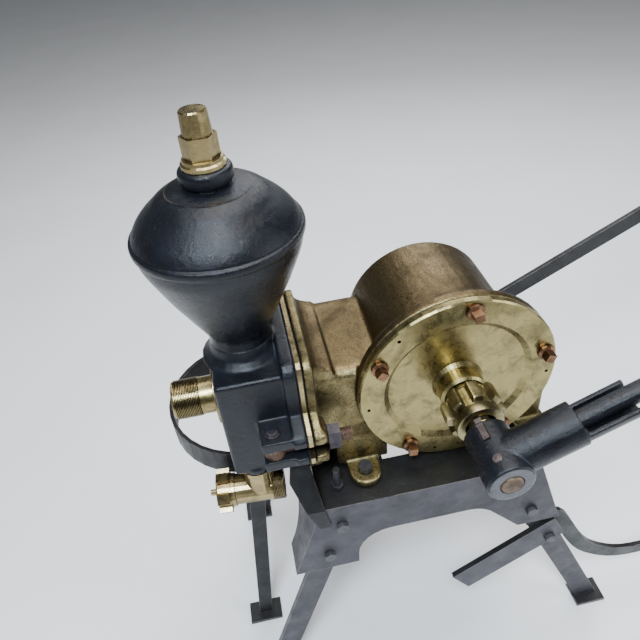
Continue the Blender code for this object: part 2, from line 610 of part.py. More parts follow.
# Shaft, wing and lever ------------------------------------------------------------------------
def rotor():
    """Shaft, oil collar and the wing that sweeps the drum; all turn with the lever."""
    add("pump_shaft", turned([(0.0, 0.1660), (0.0125, 0.1660), (SHAFT_R, 0.1645),
                              (SHAFT_R, -0.2060), (0.0, -0.2060)], 28), RUSTY, turn=TO_FRONT,
        parent=lever)
    add("oil_collar", turned([(SHAFT_HOLE_R, 0.0880), (0.0150, 0.0880), (0.0172, 0.0850),
                              (0.0180, 0.0815), (0.0172, 0.0780), (0.0150, 0.0765),
                              (SHAFT_HOLE_R, 0.0765)], 24, ring=True), BRASS,
        turn=TO_FRONT, parent=lever)
    back, front = BORE_BACK - 0.001, DRUM_FRONT + 0.0015
    wing = add("pump_wing", cylinder(0.0240, back - front, 28), BRONZE,
               (0.0, middle((front, back)), 0.0), TO_FRONT, lever)
    join(wing, box((0.0, BORE_R - 0.0012), (front, back), (-0.0060, 0.0060)))
    cut(wing, cylinder(SHAFT_HOLE_R, 0.300, 28), (0.0, 0.1, 0.0), TO_FRONT)
    edge = math.sqrt((BORE_R - 0.0006) ** 2 - 0.0070 ** 2)
    add("drum_partition", box((-edge, -0.0246), (front, back), (-0.0070, 0.0070)), BRONZE)


def lever_casting():
    """Hub on the shaft, tubular socket and the half-round cradle that backs the rod."""
    hub = add("lever_hub", cylinder(HUB_R, HUB_Y[1] - HUB_Y[0], 40), BLACK_IRON,
              (0.0, middle(HUB_Y), 0.0), TO_FRONT, lever)
    bevel(hub, 0.0025, 1)
    join(hub, cylinder(SOCKET_R, SOCKET_END, 36), (SOCKET_END / 2, LEVER_Y, 0.0), ALONG_X)
    cradle_end = SOCKET_END + 0.066
    cradle = tool(cylinder(0.0245, cradle_end - 0.080, 28),
                  (middle((0.080, cradle_end)), LEVER_Y, 0.0), ALONG_X, lever)
    upper = box((SOCKET_END + 0.0005, 0.20), (LEVER_Y - 0.060, LEVER_Y + 0.060), (0.003, 0.06))
    boolean(cradle, tool(upper, parent=lever), "DIFFERENCE")
    boolean(hub, cradle, "UNION")
    cut(hub, cylinder(0.0185, 0.10, 24), (SOCKET_END + 0.053, LEVER_Y, 0.0), ALONG_X)
    cut(hub, cylinder(ROD_R + GAP, 0.20, 24), (0.140, LEVER_Y, ROD_RISE), ALONG_X)
    cut(hub, cylinder(SHAFT_HOLE_R, 0.20, 28), (0.0, LEVER_Y, 0.0), TO_FRONT)
    cut(hub, box((-0.0043, 0.0043), (-0.1253, 0.0), (0.0100, 0.0223)))
    cut(hub, box((-0.0043, 0.0043), (-0.1163, -0.0930), (0.0200, 0.0400)))
    cut(hub, cylinder(0.0038, 0.030, 12), (0.0, -0.1450, 0.0200))


def lever_fittings():
    """Gib key, cross pin, rod, end tee and wooden grip."""
    key = add("hub_key", box((-0.0040, 0.0040), (-0.1250, -0.0790), (0.0141, 0.0220)), STEEL,
              parent=lever)
    cut(key, box((-0.0100, 0.0100), (-0.0889, -0.0700), (0.0, 0.0184)))
    join(key, box((-0.0038, 0.0038), (-0.1160, -0.0933), (0.0210, 0.0303)))
    add("hub_pin", turned([(0.0, 0.0315), (0.0050, 0.0312), (0.0058, 0.0296), (0.0035, 0.0290),
                           (0.0035, 0.0143), (0.0, 0.0143)], 12), STEEL,
        (0.0, -0.1450, 0.0), parent=lever)
    rod_start = 0.0405
    add("lever_rod", cylinder(ROD_R, ROD_END - rod_start, 24),
        BLACK_IRON, (middle((rod_start, ROD_END)), LEVER_Y, ROD_RISE), ALONG_X, lever)
    tee = add("lever_end_tee", cylinder(0.0240, 0.060, 20), BLACK_IRON,
              (ROD_END + 0.014, LEVER_Y, ROD_RISE), TO_FRONT, lever)
    bevel(tee, 0.002, 1)
    join(tee, cylinder(0.0185, 0.045, 20), (ROD_END - 0.012, LEVER_Y, ROD_RISE), ALONG_X)
    cut(tee, cylinder(ROD_R + GAP, 0.045, 24), (ROD_END - 0.022 + GAP, LEVER_Y, ROD_RISE), ALONG_X)
    cut(tee, cylinder(0.0163, 0.10, 24), (ROD_END + 0.0165, LEVER_Y, ROD_RISE), TO_FRONT)
    grip = [(0.0, 0.130), (0.0130, 0.129), (0.0165, 0.124), (0.0172, 0.080), (0.0160, 0.040),
            (0.0160, -0.040), (0.0172, -0.080), (0.0165, -0.124), (0.0130, -0.129), (0.0, -0.130)]
    add("lever_grip", turned(grip, 20), WOOD, (ROD_END + 0.0165, LEVER_Y, ROD_RISE), TO_FRONT, lever)


# Stand ----------------------------------------------------------------------------------------
def frustum(inset, low, high):
    """The stand's tapering box: upright front and back, splayed sides, inset on every side."""
    work = bmesh.new()
    bmesh.ops.create_cube(work, size=1.0)
    for corner in work.verts:
        z = high if corner.co.z > 0 else low
        run = (TOP_Z - z) * SPLAY
        corner.co.x = (STAND_X[1] + run - inset) if corner.co.x > 0 else (STAND_X[0] - run + inset)
        corner.co.y = (STAND_Y[1] - inset) if corner.co.y > 0 else (STAND_Y[0] + inset)
        corner.co.z = z
    return mesh_from(work, "frustum")


def stand_frame():
    """Top plate and arched skirts as one pressed and welded frame, open under the drum."""
    bottom = TOP_Z - SKIRT_DEPTH
    frame = add("stand_frame", frustum(0.0, bottom, TOP_Z), GREY_IRON)
    cut(frame, frustum(PLATE_T, bottom - 0.02, TOP_Z - PLATE_T))
    cut(frame, box((-0.102, 0.102), (0.021, 0.255), (TOP_Z - 0.05, TOP_Z + 0.05)))
    front_arch = ([(-0.160, bottom - 0.01)] + arc((-0.109, -0.277), 0.050, 180, 90, 6)
                  + arc((0.012, -0.279), 0.052, 90, 45, 4) + [(0.108, bottom - 0.01)])
    cut(frame, plate(front_arch, 0.60), (0.0, 0.10, 0.0), IN_XZ)
    side_arch = ([(0.010, bottom - 0.01)] + arc((0.060, -0.275), 0.050, 180, 90, 6)
                 + arc((0.215, -0.275), 0.050, 90, 0, 6) + [(0.265, bottom - 0.01)])
    cut(frame, plate(side_arch, 0.80), (0.0, 0.0, 0.0), IN_YZ)
    for side in (-1, 1):
        for y in FOOT_BOLTS_Y:
            cut(frame, cylinder(0.0065, 0.060, 12), (side * FOOT_X, y, TOP_Z))
    cut(frame, cylinder(0.0054, 0.060, 12), (-0.177, -0.011, TOP_Z))
    for x, z in LEG_BOLTS:
        cut(frame, cylinder(0.0058, 0.030, 10), (x, STAND_Y[0], z), TO_FRONT)


LEG_WIDTH, LEG_T = 0.038, 0.008
LEG_TOP = TOP_Z - 0.012
LEG_LINE = {-1: (-0.2035, 0.34), 1: (0.1160, 0.47)}   # x at the lower skirt bolts, splay
LEG_BOLT_Z = -0.262
LEG_BOLTS = ((-0.1804, -0.194), (-0.2035, LEG_BOLT_Z), (0.1170, LEG_BOLT_Z))
BRACE_BOLT = (0.1600, -0.351)
BRACE_T = 0.009


def leg_axis(side, z):
    """The x of a leg's middle at height z."""
    x, splay = LEG_LINE[side]
    return x + side * splay * (LEG_BOLT_Z - z)


def legs():
    """Four splayed flat-bar legs with foot plates."""
    front_y = STAND_Y[0] + PLATE_T + GAP + LEG_T / 2
    back_y = STAND_Y[1] - PLATE_T - GAP - LEG_T / 2
    for side, side_name in ((-1, "left"), (1, "right")):
        for y, place in ((front_y, "front"), (back_y, "back")):
            ends = ((leg_axis(side, LEG_TOP), LEG_TOP), (leg_axis(side, FLOOR_Z), FLOOR_Z))
            half = LEG_WIDTH / 2 * math.hypot(1.0, LEG_LINE[side][1])
            outline = [(ends[0][0] - half, LEG_TOP), (ends[0][0] + half, LEG_TOP),
                       (ends[1][0] + half, FLOOR_Z), (ends[1][0] - half, FLOOR_Z)]
            leg = add(f"leg_{place}_{side_name}", plate(outline, LEG_T), GREY_IRON, (0.0, y, 0.0),
                      IN_XZ)
            foot_x = (ends[1][0] - 0.028, ends[1][0] + 0.028)
            join(leg, box(foot_x, (y - 0.022, y + 0.022), (FLOOR_Z, FLOOR_Z + 0.006)))
            if place == "front":
                for x, z in (*LEG_BOLTS, BRACE_BOLT):
                    if (x > 0) == (side > 0):
                        cut(leg, cylinder(0.0058, 0.030, 10), (x, y, z), TO_FRONT)


def brace_and_hook():
    """Diagonal plate across the front legs and the curved hose hook on the right."""
    brace_y = STAND_Y[0] + PLATE_T - BRACE_T / 2
    corner = (0.162, TOP_Z - SKIRT_DEPTH - 0.002)
    slope = math.radians(35)
    down, across = (-math.cos(slope), -math.sin(slope)), (math.sin(slope), -math.cos(slope))
    far = (corner[0] + 0.20 * down[0], corner[1] + 0.20 * down[1])
    outline = [corner, (corner[0] + 0.0246, corner[1] - 0.048),
               (far[0] + 0.053 * across[0], far[1] + 0.053 * across[1]), far]
    brace = add("diagonal_brace", plate(outline, BRACE_T), GREY_IRON, (0.0, brace_y, 0.0), IN_XZ)
    cut(brace, cylinder(0.0058, 0.030, 10), (BRACE_BOLT[0], brace_y, BRACE_BOLT[1]), TO_FRONT)

    hook_y = STAND_Y[0] + PLATE_T + LEG_T + 2 * GAP + 0.004
    path = smooth([(0.136, -0.342), (0.152, -0.325), (0.168, -0.320), (0.184, -0.333),
                   (0.203, -0.368), (0.226, -0.4115), (0.250, -0.446), (0.278, -0.4705),
                   (0.313, -0.492), (0.350, -0.502), (0.395, -0.500), (0.435, -0.482),
                   (0.462, -0.450)], 2)
    add("hose_hook", strap(path, 0.026, 0.008), BLACK_IRON, (0.0, hook_y, 0.0), IN_XZ)


def hoop():
    """Carrying hoop of flat iron on edge, welded to the stand, and the prop under it."""
    centre_x, centre_y = HOOP_CENTRE
    front, back = centre_y - HOOP_R, centre_y + HOOP_R
    end_x = STAND_X[0] + 0.020
    outline = (arc(HOOP_CENTRE, HOOP_R, 90, 270, 18)
               + [(end_x, front), (end_x, front + HOOP_T)]
               + arc(HOOP_CENTRE, HOOP_R - HOOP_T, 270, 90, 18)
               + [(end_x, back - HOOP_T), (end_x, back)])
    carry = add("carry_hoop", plate(outline, HOOP_Z[1] - HOOP_Z[0]), BLACK_IRON,
                (0.0, 0.0, middle(HOOP_Z)))
    cut(carry, frustum(-GAP, TOP_Z - 0.040, TOP_Z + 0.040))
    hole = polar(HOOP_R, 118)
    cut(carry, cylinder(0.0060, 0.040, 12), (centre_x + hole[0], centre_y + hole[1], middle(HOOP_Z)),
        (math.pi / 2, 0.0, math.radians(28)))

    prop_y = front + HOOP_T + GAP + 0.0055
    outline = [(-0.2762, -0.134), (-0.3014, -0.134), (-0.3500, FLOOR_Z), (-0.3248, FLOOR_Z)]
    prop = add("hoop_leg", plate(outline, 0.008), GREY_IRON, (0.0, prop_y, 0.0), IN_XZ)
    join(prop, box((-0.368, -0.306), (prop_y - 0.020, prop_y + 0.020), (FLOOR_Z, FLOOR_Z + 0.006)))


def rear_bar():
    """Flat handle bar that rises to the right from the back of the stand."""
    y = STAND_Y[1] + GAP + 0.004
    slope = math.radians(27.5)
    start = (0.078, -0.2075)
    length = 0.760
    end = (start[0] + length * math.cos(slope), start[1] + length * math.sin(slope))
    bar = add("rear_bar", strap([start, end], 0.030, 0.008), GREY_IRON, (0.0, y, 0.0), IN_XZ)
    join(bar, cylinder(0.015, 0.008, 24), (end[0], y, end[1]), TO_FRONT)
    cut(bar, cylinder(0.006, 0.030, 12), (end[0], y, end[1]), TO_FRONT)
    for along in (0.020, 0.062):
        x, z = start[0] + along * math.cos(slope), start[1] + along * math.sin(slope)
        join(bar, cylinder(0.0075, 0.010, 10, 0.0050), (x, y + 0.007, z),
             (-math.pi / 2, 0.0, 0.0))


def flange_bracket():
    """Bent gusset from the chest flange down to the front of the stand."""
    front = STAND_Y[0] - GAP - 0.002
    profile = strap([(front, -0.186), (front, TOP_Z + 0.004), (-0.0130, -0.0745)], 0.004, 0.080)
    bracket = add("flange_bracket", profile, BLACK_IRON, (-0.215, 0.0, 0.0), IN_YZ)
    face = plate([(-0.238, -0.072), (-0.215, -0.070), (-0.196, -0.187), (-0.212, -0.188),
                  (-0.244, -0.100)], 0.20)
    boolean(bracket, tool(face, (0.0, -0.030, 0.0), IN_XZ), "INTERSECT")


def hex_bolt(across_flats, head, shank_r, length, nut_at):
    """Bolt along Z: head above z = 0, shank below it and its nut from nut_at down."""
    bolt = tool(hexagon(across_flats, head), (0.0, 0.0, GAP + head / 2))
    boolean(bolt, tool(cylinder(shank_r, length + 0.002, 8), (0.0, 0.0, 0.002 - length / 2)),
            "UNION")
    boolean(bolt, tool(hexagon(across_flats, head), (0.0, 0.0, nut_at - GAP - head / 2)), "UNION")
    shape = finished_mesh(bolt)
    shape.transform(Matrix.Translation(bolt.location))
    return shape


def fasteners():
    """Foot bolts through the rails, bolts through skirt and legs, and the spare stud."""
    rail_top = TOP_Z + 0.0125
    shape = hex_bolt(0.018, 0.010, 0.006, 0.034, -0.0125 - PLATE_T)
    number = 0
    for side in (-1, 1):
        for y in FOOT_BOLTS_Y:
            number += 1
            add(f"foot_bolt_{number}", shape, RUSTY, (side * FOOT_X, y, rail_top))

    shape = hex_bolt(0.016, 0.007, 0.0052, 0.028, -PLATE_T - LEG_T - GAP)
    for number, (x, z) in enumerate(LEG_BOLTS, 1):
        add(f"leg_bolt_{number}", shape, RUSTY, (x, STAND_Y[0], z), TO_FRONT)
    brace_front = STAND_Y[0] + PLATE_T - BRACE_T
    add("brace_bolt", hex_bolt(0.016, 0.007, 0.0052, 0.030, -BRACE_T - LEG_T - GAP), RUSTY,
        (BRACE_BOLT[0], brace_front, BRACE_BOLT[1]), TO_FRONT)

    stud = add("stand_stud", cylinder(0.0050, 0.055, 14), RUSTY, (-0.177, -0.011, TOP_Z + 0.0125))
    cut_z = TOP_Z + GAP + 0.004
    join(stud, hexagon(0.016, 0.008), (-0.177, -0.011, cut_z))


clear_scene()
pump = empty("pump_frame", (PUMP_X, PUMP_Y, SHAFT_HEIGHT))
lever = empty("lever_axis", parent=pump, rotation=(0.0, -LEVER_ANGLE, 0.0))
pump_body()
front_cover()
cover_gasket()
cover_bolts()
gland()
joint_layers()
flap_valves()
valve_chest()
air_vessel()
vessel_plug()
outlet_nipple()
suction_tee()
tee_cap()
swing_bolts()
rotor()
lever_casting()
lever_fittings()
stand_frame()
legs()
brace_and_hook()
hoop()
rear_bar()
flange_bracket()
fasteners()
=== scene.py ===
"""Looks of the portable hand fire pump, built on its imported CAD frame.

The pump's own frame is used for every added piece: the shaft runs along Y through ORIGIN, the
cover faces -Y and +X is the lever side. Units are metres.
"""
import math

import bmesh
import bpy
from mathutils import Matrix, Vector


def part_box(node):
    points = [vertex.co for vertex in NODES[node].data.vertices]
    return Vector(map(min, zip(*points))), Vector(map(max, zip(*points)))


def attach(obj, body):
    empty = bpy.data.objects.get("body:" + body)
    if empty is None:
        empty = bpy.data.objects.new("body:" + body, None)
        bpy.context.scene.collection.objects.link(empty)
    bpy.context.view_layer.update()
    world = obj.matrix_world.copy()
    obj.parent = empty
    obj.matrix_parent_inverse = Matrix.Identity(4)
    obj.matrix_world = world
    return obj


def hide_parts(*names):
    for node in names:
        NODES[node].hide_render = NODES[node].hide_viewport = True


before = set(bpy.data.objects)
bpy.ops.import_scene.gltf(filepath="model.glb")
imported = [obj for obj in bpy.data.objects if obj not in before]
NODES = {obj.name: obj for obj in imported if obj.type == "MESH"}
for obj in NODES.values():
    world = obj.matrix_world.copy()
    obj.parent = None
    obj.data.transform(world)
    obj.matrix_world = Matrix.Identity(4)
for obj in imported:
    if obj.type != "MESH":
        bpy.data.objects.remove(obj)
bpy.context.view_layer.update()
STAND_BODY = "pump_and_stand"

ORIGIN = Vector((-0.17605, -0.03815, 0.62000))
HUB_FACE_Y = ORIGIN.y - 0.1648
TEE_THREAD_X = ORIGIN.x - 0.2710
TEE_THREAD_PITCH = 0.0023
SWING_THREAD_PITCH = 0.0020
FLANGE_EDGE_X = (ORIGIN.x - 0.183, ORIGIN.x - 0.192)
FOOT_LUG_Z = (ORIGIN.z - 0.105, ORIGIN.z - 0.132)


# Shader helpers -------------------------------------------------------------------------------
class Shader:
    """A Principled material under construction; every method returns an output socket."""

    def __init__(self, name, metallic, roughness):
        self.material = bpy.data.materials.new(name)
        self.material.use_nodes = True
        self.tree = self.material.node_tree
        self.principled = self.tree.nodes["Principled BSDF"]
        self.principled.inputs["Metallic"].default_value = metallic
        self.principled.inputs["Roughness"].default_value = roughness
        self.place = self.tree.nodes.new("ShaderNodeTexCoord").outputs["Object"]
        self.geometry = self.tree.nodes.new("ShaderNodeNewGeometry")
        self.height = None

    def link(self, source, target):
        self.tree.links.new(source, target)

    def feed(self, node, index, value):
        if isinstance(value, bpy.types.NodeSocket):
            self.link(value, node.inputs[index])
        else:
            node.inputs[index].default_value = value

    def noise(self, scale, detail=4.0, roughness=0.6, distortion=0.0, stretch=None):
        node = self.tree.nodes.new("ShaderNodeTexNoise")
        node.inputs["Scale"].default_value = scale
        node.inputs["Detail"].default_value = detail
        node.inputs["Roughness"].default_value = roughness
        node.inputs["Distortion"].default_value = distortion
        self.link(self.stretched(stretch) if stretch else self.place, node.inputs["Vector"])
        return node.outputs["Fac"]

    def stretched(self, stretch):
        node = self.tree.nodes.new("ShaderNodeMapping")
        node.inputs["Scale"].default_value = stretch
        self.link(self.place, node.inputs["Vector"])
        return node.outputs["Vector"]

    def ramp(self, value, *stops):
        node = self.tree.nodes.new("ShaderNodeValToRGB")
        elements = node.color_ramp.elements
        while len(elements) < len(stops):
            elements.new(0.5)
        for element, (position, colour) in zip(elements, stops):
            element.position = position
            element.color = (*colour, 1.0)
        self.link(value, node.inputs["Fac"])
        return node.outputs["Color"]

    def step(self, value, start, end, to_start=0.0, to_end=1.0):
        """The value mapped from start..end to to_start..to_end, smoothly and clamped."""
        node = self.tree.nodes.new("ShaderNodeMapRange")
        node.interpolation_type = "SMOOTHSTEP"
        self.feed(node, "Value", value)
        node.inputs["From Min"].default_value = start
        node.inputs["From Max"].default_value = end
        node.inputs["To Min"].default_value = to_start
        node.inputs["To Max"].default_value = to_end
        return node.outputs["Result"]

    def math(self, operation, first, second=0.0):
        node = self.tree.nodes.new("ShaderNodeMath")
        node.operation = operation
        self.feed(node, 0, first)
        self.feed(node, 1, second)
        return node.outputs["Value"]

    def mix(self, factor, first, second):
        node = self.tree.nodes.new("ShaderNodeMixRGB")
        self.feed(node, "Fac", factor)
        for index, colour in (("Color1", first), ("Color2", second)):
            self.feed(node, index, (*colour, 1.0) if isinstance(colour, tuple) else colour)
        return node.outputs["Color"]

    def axes(self, source):
        node = self.tree.nodes.new("ShaderNodeSeparateXYZ")
        self.link(source, node.inputs["Vector"])
        return node.outputs["X"], node.outputs["Y"], node.outputs["Z"]

    def edges(self, radius, strongest=1.0):
        """White along outside edges: where a rounded normal differs from the true one."""
        node = self.tree.nodes.new("ShaderNodeBevel")
        node.samples = 4
        node.inputs["Radius"].default_value = radius
        dot = self.tree.nodes.new("ShaderNodeVectorMath")
        dot.operation = "DOT_PRODUCT"
        self.link(node.outputs["Normal"], dot.inputs[0])
        self.link(self.geometry.outputs["Normal"], dot.inputs[1])
        turned_away = self.step(dot.outputs["Value"], 0.985, 0.90)
        outside = self.step(self.geometry.outputs["Pointiness"], 0.495, 0.510)
        return self.math("MULTIPLY", self.math("MULTIPLY", turned_away, outside), strongest)

    def crevice_shade_and_dirt(self, distance, strongest):
        """White in corners and slots, where dirt stays and shade falls; the darkening it drives is
        painted shade as well as dirt.
        """
        node = self.tree.nodes.new("ShaderNodeAmbientOcclusion")
        node.samples = 6
        node.inputs["Distance"].default_value = distance
        return self.step(node.outputs["AO"], 0.80, 0.35, 0.0, strongest)

    def noise_along(self, value, scale):
        """Noise that changes with one value only, as marks left by a lathe."""
        along = self.tree.nodes.new("ShaderNodeCombineXYZ")
        self.link(value, along.inputs["X"])
        node = self.tree.nodes.new("ShaderNodeTexNoise")
        node.inputs["Scale"].default_value = scale
        node.inputs["Detail"].default_value = 2.0
        self.link(along.outputs["Vector"], node.inputs["Vector"])
        return node.outputs["Fac"]

    def ridges(self, value, pitch):
        """0 to 1 and back once each pitch along the value."""
        wave = self.math("SINE", self.math("MULTIPLY", value, 2 * math.pi / pitch))
        return self.math("ADD", self.math("MULTIPLY", wave, 0.5), 0.5)

    def raise_by(self, value, strength, distance):
        """Stack one more layer of bump."""
        node = self.tree.nodes.new("ShaderNodeBump")
        node.inputs["Strength"].default_value = strength
        node.inputs["Distance"].default_value = distance
        self.link(value, node.inputs["Height"])
        if self.height:
            self.link(self.height, node.inputs["Normal"])
        self.height = node.outputs["Normal"]

    def finish(self, colour, roughness=None):
        self.link(colour, self.principled.inputs["Base Color"])
        if roughness:
            self.link(roughness, self.principled.inputs["Roughness"])
        if self.height:
            self.link(self.height, self.principled.inputs["Normal"])
        return self.material


# Materials ------------------------------------------------------------------------------------
def brighter(colour, times):
    return tuple(min(1.0, c * times) for c in colour)


def brass(name, light, dark, stain, rough=(0.24, 0.42), grime=0.5):
    """Handled brass: cloudy tarnish, dark specks, dirt and painted shade in corners, and rubbed
    bright edges.
    """
    s = Shader(name, 1.0, 0.3)
    cloud = s.noise(16.0, 7.0, 0.66, 0.8)
    colour = s.ramp(cloud, (0.30, dark), (0.50, light), (0.78, brighter(light, 1.15)))
    blot = s.step(s.noise(34.0, 8.0, 0.66, 0.4), 0.46, 0.74, 0.0, grime)
    colour = s.mix(blot, colour, stain)
    colour = s.mix(s.step(s.noise(430.0, 3.0, 0.6), 0.58, 0.74, 0.0, 0.45), colour, stain)
    # Corners and slots darkened by ambient occlusion: painted shade, together with dirt.
    colour = s.mix(s.crevice_shade_and_dirt(0.006, 0.9), colour, brighter(stain, 0.35))
    colour = s.mix(s.edges(0.0010, 0.8), colour, brighter(light, 1.45))
    s.raise_by(s.noise(900.0, 2.0, 0.5, 0.0, (0.12, 1.0, 0.3)), 0.10, 0.0004)
    s.raise_by(s.noise(210.0, 3.0, 0.5), 0.08, 0.0008)
    return s, colour, s.step(s.noise(60.0, 6.0, 0.7), 0.30, 0.75, *rough)


def plain_brass(name, *settings):
    s, colour, roughness = brass(name, *settings)
    return s.finish(colour, roughness)


def cover_brass():
    """The cover's brass, with the faint rings left by the lathe."""
    s, colour, roughness = brass("cover_brass_worn", (0.33, 0.270, 0.118), (0.125, 0.104, 0.046),
                                 (0.060, 0.054, 0.027), (0.22, 0.42), 0.8)
    x, y, z = s.axes(s.place)
    across = s.math("POWER", s.math("SUBTRACT", x, ORIGIN.x), 2.0)
    upward = s.math("POWER", s.math("SUBTRACT", z, ORIGIN.z), 2.0)
    radius = s.math("SQRT", s.math("ADD", across, upward))
    marks = s.noise_along(radius, 1100.0)
    colour = s.mix(s.step(marks, 0.50, 0.72, 0.0, 0.30), colour, (0.16, 0.13, 0.06))
    s.raise_by(marks, 0.16, 0.0005)
    return s.finish(colour, roughness)


def threaded_brass():
    """The tee's brass; the last stretch of its right end is threaded."""
    s, colour, roughness = brass("tee_brass_threaded", (0.40, 0.315, 0.150), (0.17, 0.130, 0.060),
                                 (0.11, 0.08, 0.036), (0.22, 0.40), 0.5)
    x, y, z = s.axes(s.place)
    zone = s.step(x, TEE_THREAD_X, TEE_THREAD_X + 0.0010)
    ridge = s.math("MULTIPLY", s.ridges(x, TEE_THREAD_PITCH), zone)
    # The thread roots are painted darker: painted shade between the crests.
    colour = s.mix(s.math("MULTIPLY", s.step(ridge, 0.55, 0.15, 0.0, 0.8), zone), colour,
                   (0.055, 0.040, 0.020))
    s.raise_by(ridge, 0.9, 0.0012)
    return s.finish(colour, roughness)


def body_bronze():
    """The pump body: brown patina on the drum and neck, rubbed brass on flange and feet, and
    painted light making faces turned to the front (-Y) bright.
    """
    s = Shader("bronze_patina_worn", 1.0, 0.4)
    x, y, z = s.axes(s.place)
    normal = s.axes(s.geometry.outputs["Normal"])
    flange = s.step(x, *FLANGE_EDGE_X)
    feet = s.step(z, *FOOT_LUG_Z)
    # Faces turned to -Y, towards the lamps, are painted brighter and yellower: painted light.
    lit_front_faces = s.step(normal[1], -0.30, -0.85, 0.0, 0.75)
    # The bright brass mix: rubbed flange and feet, plus the painted light on front faces.
    bright = s.math("MAXIMUM", s.math("MAXIMUM", flange, feet), lit_front_faces)
    cloud = s.noise(18.0, 8.0, 0.66, 0.9)
    brown = s.ramp(cloud, (0.30, (0.046, 0.033, 0.016)), (0.52, (0.125, 0.090, 0.042)),
                   (0.78, (0.215, 0.155, 0.076)))
    yellow = s.ramp(cloud, (0.34, (0.075, 0.060, 0.027)), (0.52, (0.24, 0.195, 0.090)),
                    (0.74, (0.50, 0.42, 0.21)))
    colour = s.mix(bright, brown, yellow)
    pits = s.step(s.noise(330.0, 5.0, 0.75), 0.50, 0.62, 0.0, 0.85)
    colour = s.mix(pits, colour, (0.050, 0.038, 0.020))
    streak = s.step(s.noise(9.0, 6.0, 0.6, 0.4, (1.0, 0.35, 1.0)), 0.52, 0.78, 0.0, 0.5)
    colour = s.mix(streak, colour, (0.075, 0.062, 0.034))
    # Corners and hollows darkened by ambient occlusion: painted shade, together with dirt.
    colour = s.mix(s.crevice_shade_and_dirt(0.012, 0.8), colour, (0.030, 0.022, 0.012))
    colour = s.mix(s.edges(0.0016, 0.8), colour, (0.70, 0.59, 0.34))
    s.raise_by(s.noise(260.0, 5.0, 0.65), 0.55, 0.0014)
    s.raise_by(s.noise(42.0, 3.0, 0.5), 0.22, 0.0030)
    return s.finish(colour, s.step(cloud, 0.30, 0.75, 0.50, 0.32))


def black_iron(name, base, sheen, rust=0.5, grain=0.35, rough=(0.26, 0.50), machined=None):
    """Oiled black castings: sand-cast grain, rust freckles, rusty rubbed edges and light grey
    specks painted in as glints on the grain.

    Surfaces in front of the machined plane, if there is one, are bare grey iron.
    """
    s = Shader(name, 0.0, 0.4)
    s.principled.inputs["Specular IOR Level"].default_value = 0.30
    cloud = s.noise(18.0, 7.0, 0.65, 0.5)
    colour = s.ramp(cloud, (0.30, base), (0.66, sheen))
    if machined:
        bare = s.ramp(cloud, (0.30, (0.040, 0.040, 0.044)), (0.66, (0.11, 0.11, 0.12)))
        colour = s.mix(s.step(s.axes(s.place)[1], machined + 0.0004, machined), colour, bare)
    freckle = s.step(s.noise(210.0, 6.0, 0.75, 0.8), 0.58, 0.72)
    patch = s.step(s.noise(16.0, 5.0, 0.6, 1.0), 0.44, 0.66)
    freckle = s.math("MULTIPLY", s.math("MULTIPLY", freckle, patch), rust)
    colour = s.mix(freckle, colour, (0.085, 0.044, 0.028))
    # Light grey specks in the grain: painted glints, the sparkle of light on the cast surface.
    colour = s.mix(s.step(s.noise(520.0, 3.0, 0.6), 0.62, 0.72, 0.0, 0.15), colour,
                   (0.07, 0.07, 0.080))
    rubbed = s.math("MULTIPLY", s.edges(0.0012), s.step(s.noise(55.0, 6.0, 0.7), 0.42, 0.60))
    colour = s.mix(s.math("MULTIPLY", rubbed, rust), colour, (0.21, 0.125, 0.085))
    s.raise_by(s.noise(620.0, 4.0, 0.7), grain, 0.0016)
    s.raise_by(s.noise(95.0, 4.0, 0.6), grain * 0.8, 0.0030)
    roughness = s.math("ADD", s.step(cloud, 0.30, 0.72, *rough), s.math("MULTIPLY", freckle, 0.35))
    return s.finish(colour, roughness)


def worn_paint(name, low_grey, high_grey, upward_greys=(0.012, 0.040)):
    """Grey-purple worn iron on upright faces, darker on whatever faces up."""
    s = Shader(name, 0.30, 0.45)
    normal = s.axes(s.geometry.outputs["Normal"])
    cloud = s.noise(12.0, 8.0, 0.68, 0.7)
    grey = s.ramp(cloud, (0.30, low_grey), (0.62, high_grey))
    dark = s.ramp(cloud, (0.30, (upward_greys[0],) * 3), (0.70, (upward_greys[1],) * 3))
    # Faces that point up get the darker greys, chosen by the direction they face alone.
    colour = s.mix(s.step(normal[2], 0.25, 0.75), grey, dark)
    chips = s.step(s.noise(150.0, 6.0, 0.75, 0.6), 0.56, 0.68, 0.0, 0.55)
    colour = s.mix(chips, colour, (0.036, 0.026, 0.024))
    colour = s.mix(s.step(s.noise(260.0, 4.0, 0.6), 0.66, 0.75, 0.0, 0.35), colour,
                   (0.20, 0.195, 0.21))
    rubbed = s.math("MULTIPLY", s.edges(0.0014), s.step(s.noise(40.0, 5.0, 0.7), 0.34, 0.52))
    colour = s.mix(s.math("MULTIPLY", rubbed, 0.85), colour, (0.33, 0.27, 0.25))
    # Corners and recesses darkened by ambient occlusion: painted shade, together with dirt.
    colour = s.mix(s.crevice_shade_and_dirt(0.010, 0.8), colour, (0.008, 0.007, 0.007))
    s.raise_by(s.noise(420.0, 5.0, 0.7), 0.50, 0.0012)
    s.raise_by(s.noise(36.0, 4.0, 0.55), 0.28, 0.0030)
    return s.finish(colour, s.step(s.noise(25.0, 6.0, 0.65), 0.30, 0.72, 0.34, 0.60))


